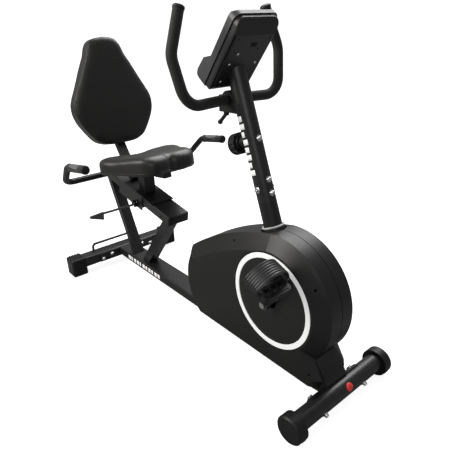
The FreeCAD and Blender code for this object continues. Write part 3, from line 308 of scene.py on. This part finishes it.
def lathe(name, profile, origin, axis, slot, body, steps=36):
    """A turned piece; profile holds (distance along the axis, radius) in millimetres."""
    axis = Vector(axis).normalized()
    side = axis.orthogonal().normalized()
    other = axis.cross(side)
    rings = []
    turn = [2 * math.pi * k / steps for k in range(steps)]
    for along, radius in profile:
        centre = Vector(origin) + axis * along * MM
        rings.append([centre + (side * math.cos(t) + other * math.sin(t)) * max(radius, 0.05) * MM
                      for t in turn])
    verts, faces = loft(rings)
    return piece(name, verts, faces, slot, body)


def rounded_box(name, frame_of, low, high, radius, slot, body, segments=3):
    """A box in a tilted frame with all its edges rounded; millimetres."""
    work = bmesh.new()
    bmesh.ops.create_cube(work, size=1)
    size = [h - l for l, h in zip(low, high)]
    middle = [(h + l) / 2 for l, h in zip(low, high)]
    for v in work.verts:
        v.co = Vector([v.co[i] * size[i] + middle[i] for i in range(3)]) * MM
    bmesh.ops.bevel(work, geom=work.edges[:], offset=radius * MM, segments=segments, profile=0.5,
                    affect="EDGES")
    verts = [frame_of @ v.co for v in work.verts]
    faces = [[v.index for v in f.verts] for f in work.faces]
    work.free()
    return piece(name, verts, faces, slot, body)


def merge(name, parts):
    """Join several pieces that ride on one body into one."""
    bpy.ops.object.select_all(action="DESELECT")
    for obj in parts:
        obj.select_set(True)
    bpy.context.view_layer.objects.active = parts[0]
    bpy.ops.object.join()
    parts[0].name = parts[0].data.name = name
    return parts[0]


def tube(name, points, radius, slot, body, closed=False, resolution=8):
    """A round tube along a smooth line."""
    data = bpy.data.curves.new(name, "CURVE")
    data.dimensions, data.bevel_depth, data.bevel_resolution = "3D", radius * MM, 3
    data.resolution_u = resolution
    line = data.splines.new("BEZIER")
    line.bezier_points.add(len(points) - 1)
    for knot, point in zip(line.bezier_points, points):
        knot.co = point
        knot.handle_left_type = knot.handle_right_type = "AUTO"
    line.use_cyclic_u = closed
    data.use_fill_caps = True
    data.materials.append(FINISH[slot])
    obj = bpy.data.objects.new(name, data)
    bpy.context.scene.collection.objects.link(obj)
    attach(obj, body)
    return obj


def spline(points, per=6, closed=True):
    """Points on a smooth curve through the given (a, b) knots, closed or open."""
    out, count = [], len(points)
    for k in range(count if closed else count - 1):
        p0, p1, p2, p3 = (points[(k + d) % count] if closed else points[min(max(k + d, 0), count - 1)]
                          for d in (-1, 0, 1, 2))
        for step in range(per):
            t = step / per
            out.append(tuple(0.5 * (2 * b + (c - a) * t + (2 * a - 5 * b + 4 * c - d) * t * t
                                    + (3 * b - a - 3 * c + d) * t ** 3)
                             for a, b, c, d in zip(p0, p1, p2, p3)))
    if not closed:
        out.append(tuple(points[-1]))
    return out


def inset(outline, amount):
    """Move a closed outline inwards along its normals."""
    out, count = [], len(outline)
    area = sum(outline[k][0] * outline[(k + 1) % count][1] - outline[(k + 1) % count][0] * outline[k][1]
               for k in range(count))
    turn = 1 if area > 0 else -1
    for k in range(count):
        before, after = outline[k - 1], outline[(k + 1) % count]
        dx, dy = after[0] - before[0], after[1] - before[1]
        size = math.hypot(dx, dy) or 1
        out.append((outline[k][0] - turn * dy / size * amount, outline[k][1] + turn * dx / size * amount))
    return out


# ---- cushions ------------------------------------------------------------------------------------
def pillow(name, outline, levels, crown, lift, frame_of, slot, body):
    """A closed cushion: rings of (height, inset) up its side, then a crowned top; lift gives 3-D points."""
    rings = [[lift(a, b, height) for a, b in inset(outline, amount)] for height, amount in levels]
    centre_a = sum(a for a, b in outline) / len(outline)
    centre_b = sum(b for a, b in outline) / len(outline)
    top, edge = levels[-1][0], inset(outline, levels[-1][1])
    for scale in (0.92, 0.8, 0.66, 0.5, 0.34, 0.18, 0.05):
        rings.append([lift(centre_a + (a - centre_a) * scale, centre_b + (b - centre_b) * scale,
                           top + crown * (1 - scale * scale)) for a, b in edge])
    base = inset(outline, levels[0][1])
    foot = [[lift(centre_a + (a - centre_a) * scale, centre_b + (b - centre_b) * scale, levels[0][0])
             for a, b in base] for scale in (0.05, 0.4, 0.75)]
    verts, faces = loft([[frame_of @ (p * MM) for p in ring] for ring in foot + rings])
    return piece(name, verts, faces, slot, body)


def apply_modifier(obj, modifier):
    bpy.ops.object.select_all(action="DESELECT")
    obj.select_set(True)
    bpy.context.view_layer.objects.active = obj
    bpy.ops.object.modifier_apply(modifier=modifier.name)


VOXEL = 0.0055
SWELL_STEPS = 20
SMOOTHINGS = 5


def inflate(obj, cap, freedom):
    """Swell a cushion with a short cloth simulation and keep the result in its mesh.

    No point moves further than cap times what freedom gives at that point."""
    mesh = obj.data
    remesh = obj.modifiers.new("remesh", "REMESH")
    remesh.mode, remesh.voxel_size = "VOXEL", VOXEL
    apply_modifier(obj, remesh)
    rest = [v.co.copy() for v in mesh.vertices]
    cloth = obj.modifiers.new("cloth", "CLOTH")
    cloth.settings.quality = 5
    cloth.settings.mass = 0.3
    cloth.settings.use_pressure = True
    cloth.settings.uniform_pressure_force = 4.0
    cloth.settings.effector_weights.gravity = 0
    scene = bpy.context.scene
    for step in range(1, SWELL_STEPS + 1):
        scene.frame_set(step)
    seen = obj.evaluated_get(bpy.context.evaluated_depsgraph_get())
    moved = [v.co.copy() for v in seen.data.vertices]
    obj.modifiers.remove(cloth)
    scene.frame_set(1)
    for vertex, start, end in zip(mesh.vertices, rest, moved):
        way = end - start
        limit = cap * freedom(start)
        if way.length > limit:
            way = way.normalized() * limit
        vertex.co = start + way
    work = bmesh.new()
    work.from_mesh(mesh)
    for _ in range(SMOOTHINGS):
        bmesh.ops.smooth_vert(work, verts=work.verts[:], factor=0.5, use_axis_x=True, use_axis_y=True,
                              use_axis_z=True)
    work.to_mesh(mesh)
    work.free()
    fine = obj.modifiers.new("fine", "SUBSURF")
    fine.levels = fine.render_levels = 1
    apply_modifier(obj, fine)
    mesh.polygons.foreach_set("use_smooth", [True] * len(mesh.polygons))


def laid_on(obj, points):
    """Carry points to the nearest places on a piece's surface."""
    return [obj.closest_point_on_mesh(point)[1] for point in points]


def fade(value, low, high):
    """0 below low, 1 above high and a smooth step between."""
    t = min(max((value - low) / (high - low), 0), 1)
    return t * t * (3 - 2 * t)


# One half of each cushion's outline, from edge to edge along the line of symmetry; millimetres.
SEAT_HALF = [(122, 0), (136, -24), (141, -60), (136, -94), (106, -126), (46, -149), (-34, -175),
             (-104, -195), (-148, -187), (-172, -142), (-170, -60), (-164, 0)]
BACK_HALF = [(0, -22), (60, -20), (98, -8), (124, 12), (164, 72), (180, 112), (183, 150), (172, 186),
             (144, 240), (108, 312), (84, 356), (68, 396), (44, 418), (0, 424)]


def seat_top(x, y):
    """How far the saddle's top sinks or rises at a point: a dish, a front notch and a rolled nose."""
    dish = -17 * math.exp(-(((x + 60) / 96) ** 2 + (y / 118) ** 2) ** 1.5)
    notch = -3 * math.exp(-(y / 34) ** 2) * fade(x, 60, 120)
    nose = -5 * fade(x, 112, 150)
    lobe = 7 * fade(x, -60, 70) * (1 - fade(x, 100, 145))
    return dish + notch + nose + lobe


def make_seat():
    """The saddle's swollen pad with its dish, and the welt round its lower edge."""
    other_half = [(x, -y) for x, y in SEAT_HALF[-2:0:-1]]
    outline = inset(spline(SEAT_HALF + other_half, 5), -4)
    levels = [(1, 15), (3, 8), (10, 1.5), (24, 0), (46, 0.5), (57, 4), (62, 12)]
    cushion = pillow("seat_pad", outline, levels, 1.5, lambda a, b, h: Vector((a, b, h)), SEAT,
                     "vinyl", "carriage")
    back = SEAT.inverted()
    inflate(cushion, 0.006, lambda p: fade((back @ p).z * 1000, 2, 14))
    for vertex in cushion.data.vertices:
        here = back @ vertex.co * 1000
        share = fade(here.z, 26, 52)
        here.z += seat_top(here.x, here.y) * share
        vertex.co = SEAT @ (here * MM)
    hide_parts("seat_cushion")
    welt = [SEAT @ (Vector((a, b, 12)) * MM) for a, b in outline[::2]]
    tube("seat_welt", laid_on(cushion, welt), 1.6, "vinyl_trim", "carriage", closed=True)


def make_backrest():
    """The swollen back cushion, the plate behind it and a welt at its front and rear edges."""
    other_half = BACK_HALF[-2:0:-1]
    outline = inset(spline([(-y, z) for y, z in BACK_HALF] + other_half, 5), -9)
    levels = [(-60, 8), (-58, 2.5), (-46, 0), (-12, 0), (-4, 2.0), (-1.5, 8)]
    cushion = pillow("backrest_pad", outline, levels, 2.0, lambda a, b, h: Vector((h, a, b)), BACK,
                     "vinyl", "carriage")
    back = BACK.inverted()
    inflate(cushion, 0.004, lambda p: fade((back @ p).x * 1000, -60, -45))
    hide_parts("backrest_cushion")
    seam = [BACK @ (Vector((-5, a, b)) * MM) for a, b in inset(outline, 1)[::2]]
    tube("backrest_welt", laid_on(cushion, seam), 1.3, "vinyl_trim", "carriage", closed=True)
    plate_rings = [[BACK @ (Vector((x, a, b)) * MM) for a, b in inset(outline, amount)[::2]]
                   for x, amount in ((-56, 9), (-62, 9), (-64.5, 11), (-65, 14))]
    verts, faces = loft(plate_rings)
    plate = piece("backrest_plate", verts, faces, "shell", "carriage")
    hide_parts("backrest_shell")
    rear = [BACK @ (Vector((-55, a, b)) * MM) for a, b in outline[::2]]
    tube("backrest_edge", laid_on(cushion, rear), 1.8, "vinyl_trim", "carriage", closed=True)


# ---- pedals --------------------------------------------------------------------------------------
def pedal_frame(side):
    """The tilted frame of a pedal; the left crank arm points away from the right one."""
    if side < 0:
        return tilted(PEDAL[0], 0, PEDAL[1], PEDAL_TILT)
    return tilted(2 * CRANK_X - PEDAL[0], 0, 2 * CRANK_Z - PEDAL[1], PEDAL_TILT)


def make_strap(side):
    """A ribbed strap that arches over the pedal, with a lug at each end."""
    frame_of, body = pedal_frame(side), "pedal_" + LETTER[side]
    middle, half = PEDAL_Y * side, 50.3
    rings = []
    knots = [(-half, -7), (-half, 9), (-half - 14, 28), (-half * 0.76, 55), (0, 65), (half * 0.72, 53),
             (half + 4, 27), (half, 9), (half, -7)]
    line = spline(knots, 10, closed=False)
    ribs = [(-37.5, 0.2), (-38, 1.2), (-37, 3.2)]
    for k in range(7):
        x = -37 + 8 * k
        ribs += [(x + 1.2, 3.6), (x + 5.2, 3.6), (x + 6.4, 1.9), (x + 7.4, 1.9)]
    ribs += [(19.2, 3.2), (20, 1.2), (19.5, 0.2)]
    for k, (y, z) in enumerate(line):
        before, after = line[max(k - 1, 0)], line[min(k + 1, len(line) - 1)]
        dy, dz = after[0] - before[0], after[1] - before[1]
        size = math.hypot(dy, dz)
        ny, nz = -dz / size, dy / size
        rings.append([frame_of @ (Vector((x, middle - side * (y + ny * t), z + nz * t)) * MM)
                      for x, t in ribs])
    verts, faces = loft(rings)
    obj = piece("strap_ribbed_" + LETTER[side], verts, faces, "strap", body)
    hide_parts("strap_right" if side < 0 else "strap_left")
    lugs = []
    for y in (-half - 2, half + 2):
        lugs.append(rounded_box("lug", frame_of, (-8, middle + y - 3.2, -6), (14, middle + y + 3.2, 7), 1.5,
                                "plastic_black", body))
    merge("strap_lugs_" + LETTER[side], lugs)


def make_treads(side):
    """Rows of grip studs on both faces of a pedal."""
    frame_of, body = pedal_frame(side), "pedal_" + LETTER[side]
    studs = []
    for low, high in ((-15.2, -12.6), (12.6, 15.2)):
        for x in (-41, -6, 6, 41):
            for k in range(7):
                y = PEDAL_Y * side - 36 + 12 * k
                studs.append(rounded_box("stud", frame_of, (x - 2.4, y - 3.2, low), (x + 2.4, y + 3.2, high),
                                         0.8, "plastic_black", body, 2))
    merge("pedal_studs_" + LETTER[side], studs)


# ---- console -------------------------------------------------------------------------------------
def screw(name, origin, axis, radius, slot):
    """A pan head with a cross slot, as three pieces to merge."""
    head = lathe(name, [(-0.6, radius), (0.4, radius), (1.4, radius * 0.86), (2.0, radius * 0.5), (2.1, 0)],
                 origin, axis, slot, "frame", 24)
    turn = Vector(axis).normalized().to_track_quat("Z", "Y").to_matrix().to_4x4()
    frame_of = Matrix.Translation(Vector(origin)) @ turn
    r = radius * 0.55
    a = rounded_box("slot", frame_of, (-r, -0.5, 1.2), (r, 0.5, 2.25), 0.15, "screw_black", "frame", 1)
    b = rounded_box("slot", frame_of, (-0.5, -r, 1.2), (0.5, r, 2.25), 0.15, "screw_black", "frame", 1)
    return [head, a, b]


def make_console():
    """The console's screws, ports, display segments and bezels, and the crank cover's screws."""
    back = (CONSOLE.to_3x3() @ Vector((1, 0, 0))).normalized()
    parts = []
    for a, y in ((34, -52), (98, -50), (134, -36), (98, 52), (34, 52)):
        parts += screw("console_screws", CONSOLE @ (Vector((28.2, y, a)) * MM), back, 4.8, "bolt_silver")
    merge("console_screws", parts)
    cover = []
    for x, z in ((158, 455), (507, 417), (512, 122), (-84, 300), (-50, 92)):
        for side in (-1, 1):
            cover += screw("cover_screws", at(x, side * 55, z), (0, side, 0), 4.0, "screw_black")
    screws = merge("cover_screws", cover)
    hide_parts("case_screws")
    holes = []
    # Painted shade: the shallow holes and the thin port slab take the near-black recess finish for the dark
    # inside them.
    for a, y in ((186, -60), (140, -52), (148, 34), (186, 60)):
        holes.append(lathe("hole", [(-0.4, 3.4), (0.5, 3.4), (0.5, 2.4), (-0.3, 2.2), (-0.35, 0)],
                           CONSOLE @ (Vector((28.0, y, a)) * MM), back, "recess", "frame", 20))
    holes.append(rounded_box("port", CONSOLE, (27.6, -2, 158), (28.7, 22, 172), 0.5, "recess", "frame", 2))
    holes.append(rounded_box("port_lip", CONSOLE, (27.5, -4, 156), (28.3, 24, 174), 0.35, "console_black",
                             "frame", 2))
    merge("console_ports", holes)
    marks = []
    for left, right in ((-50, -30), (-16, 4), (18, 50)):
        for z in (148, 157, 166):
            marks.append(rounded_box("bar", CONSOLE, (-22.7, left, z - 1.2), (-22.2, right, z + 1.2),
                                     0.2, "recess", "frame", 1))
    for y in (-50, -30, 10, 50):
        marks.append(rounded_box("bar", CONSOLE, (-22.7, y - 5, 124), (-22.2, y + 5, 127), 0.2, "recess",
                                 "frame", 1))
    merge("display_segments", marks)
    for name, low, high in (("display_bezel_top", 207, 210.5), ("display_bezel_low", 107.5, 111)):
        rounded_box(name, CONSOLE, (-23.4, -68, low), (-21.6, 68, high), 0.6, "console_black", "frame", 2)
    rounded_box("button_plate", CONSOLE, (-51.2, -48, 30), (-48.6, 48, 56), 1.0, "console_black", "frame", 2)


# ---- small fittings ------------------------------------------------------------------------------
def mast_at(distance):
    """The point on the mast's axis at a distance in millimetres from its foot."""
    return at(MAST_FOOT_X, 0, MAST_FOOT_Z) + MAST_UP * distance * MM


def mast_patch(name, low, high, first, last, slot):
    """A thin curved patch on the mast between two heights and two angles (0 is -Y, 90 is forward)."""
    verts, faces, steps = [], [], 8
    for thick in (0.05, 0.45):
        for distance in (low, high):
            for k in range(steps + 1):
                angle = math.radians(first + (last - first) * k / steps)
                out = Vector((0, -1, 0)) * math.cos(angle) - MAST_REAR * math.sin(angle)
                verts.append(mast_at(distance) + out * (MAST_R + thick) * MM)
    n = steps + 1
    for k in range(steps):
        faces.append((k, k + 1, n + k + 1, n + k))
        faces.append((2 * n + k, 3 * n + k, 3 * n + k + 1, 2 * n + k + 1))
        faces.append((k, 2 * n + k, 2 * n + k + 1, k + 1))
        faces.append((n + k, n + k + 1, 3 * n + k + 1, 3 * n + k))
    for k in (0, steps):
        faces.append((k, n + k, 3 * n + k, 2 * n + k))
    return piece(name, verts, faces, slot, "frame")


def make_marks():
    """Plain white blocks in place of lettering on the mast and main rail, and the collar's rim coloured
    bright grey as a painted highlight.
    """
    blocks = []
    for k, span in enumerate((46, 36, 46, 42, 46, 34, 46, 40)):
        low = 636 + k * 24
        blocks.append(mast_patch("mark", low, low + 17, -30, -30 + span, "mark_white"))
    merge("mast_marks", blocks)
    blocks = []
    for k, wide in enumerate((20, 14, 18, 20, 12, 20, 16, 20, 14, 20, 18)):
        x = -690 + k * 27
        blocks.append(rounded_box("mark", tilted(0, 0, 0, 0), (x, -44.5, 56), (x + wide, -43.7, 76), 0.3,
                                  "mark_white", "frame", 1))
    merge("rail_marks", blocks)
    # Painted highlight: the collar's rounded top lip is coloured grey for the light line along its edge.
    lathe("collar_rim", [(-4, 34.5), (-4, 36.4), (0, 37.2), (2.2, 36), (2.4, 33), (0.2, 30.6), (-4, 30.6)],
          mast_at(466.2), MAST_UP, "rim_grey", "frame", 48)


def make_red_disc():
    """A plain red disc on the front stabilizer's near half, wrapped to the tube."""
    x0, z0, tube_r = 568, 50, 30                     # the stabilizer's axis and radius
    centre_y, lean, size = 24, 32, 14
    verts, faces, rings, steps = [], [], 4, 28
    for thick in (0.1, 0.6):
        for ring in range(rings + 1):
            for k in range(steps):
                turn = 2 * math.pi * k / steps
                r = size * ring / rings
                angle = math.radians(lean) + r * math.sin(turn) / tube_r
                reach = tube_r + thick
                verts.append(at(x0 + reach * math.cos(angle), centre_y + r * math.cos(turn),
                                z0 + reach * math.sin(angle)))
    total = (rings + 1) * steps
    for layer in (0, 1):
        for ring in range(rings):
            for k in range(steps):
                a = layer * total + ring * steps + k
                b = layer * total + ring * steps + (k + 1) % steps
                faces.append((a, b, b + steps, a + steps))
    for k in range(steps):
        a, b = rings * steps + k, rings * steps + (k + 1) % steps
        faces.append((a, b, b + total, a + total))
    piece("red_disc", verts, faces, "mark_red", "frame")


def make_caps():
    """Ribs on the rear caps, ends and rings on the foam grips, and the slide rail's plug and bolt."""
    x0, x1, z0, z1, r = -866, -783, 13, 92, 9        # a rib's corners and the radius it turns them by
    for side in (-1, 1):
        ribs = []
        for y in (240, 254, 268, 282):
            loop = []
            for cx, cz, start in ((x1 - r, z1 - r, 0), (x0 + r, z1 - r, 90), (x0 + r, z0 + r, 180),
                                  (x1 - r, z0 + r, 270)):
                for step in range(4):
                    angle = math.radians(start + 30 * step)
                    loop.append(at(cx + (r + 0.4) * math.cos(angle), side * y,
                                   cz - 1 + (r + 0.4) * math.sin(angle)))
            ribs.append(tube("rib", loop, 1.5, "plastic_black", "frame", True, 3))
        tip, before = at(73, side * 166, 1168), at(86, side * 213, 1046)
        way = (tip - before).normalized()
        lathe("bar_end_" + LETTER[side],
              [(-6, 16.6), (-5, 17.6), (-1, 17.9), (2, 17.2), (4.5, 14), (6, 8), (6.3, 0)],
              tip, way, "plastic_black", "handlebar")
        tip, before = at(-362, side * 327, 650), at(-524, side * 333, 628)
        way = (tip - before).normalized()
        lathe("grip_end_" + LETTER[side],
              [(-10, 16.2), (-9, 17.4), (0, 17.6), (3, 16.6), (5.5, 12), (6.4, 0)],
              tip, way, "plastic_black", "carriage")
        lathe("grip_ring_" + LETTER[side],
              [(-3, 13.2), (-3, 16.9), (-1, 17.5), (3, 17.2), (4, 16.2), (4, 13.2)],
              before + way * 0.024, way, "plastic_black", "carriage")
    rounded_box("rail_end_plug", SLIDE, (0.2, -48, -40), (5.0, 48, -2), 2.2, "plastic_black", "frame")
    lathe("rail_bolt", [(-0.4, 6), (1.6, 6), (2.6, 4.6), (2.8, 0)], SLIDE @ Vector((-0.06, -0.05, -0.022)),
          (0, -1, 0), "screw_black", "frame", 24)


make_camera()
make_studio()
finish_cad_nodes()
make_seat()
make_backrest()
for side in (-1, 1):
    make_strap(side)
    make_treads(side)
make_console()
make_marks()
make_red_disc()
make_caps()
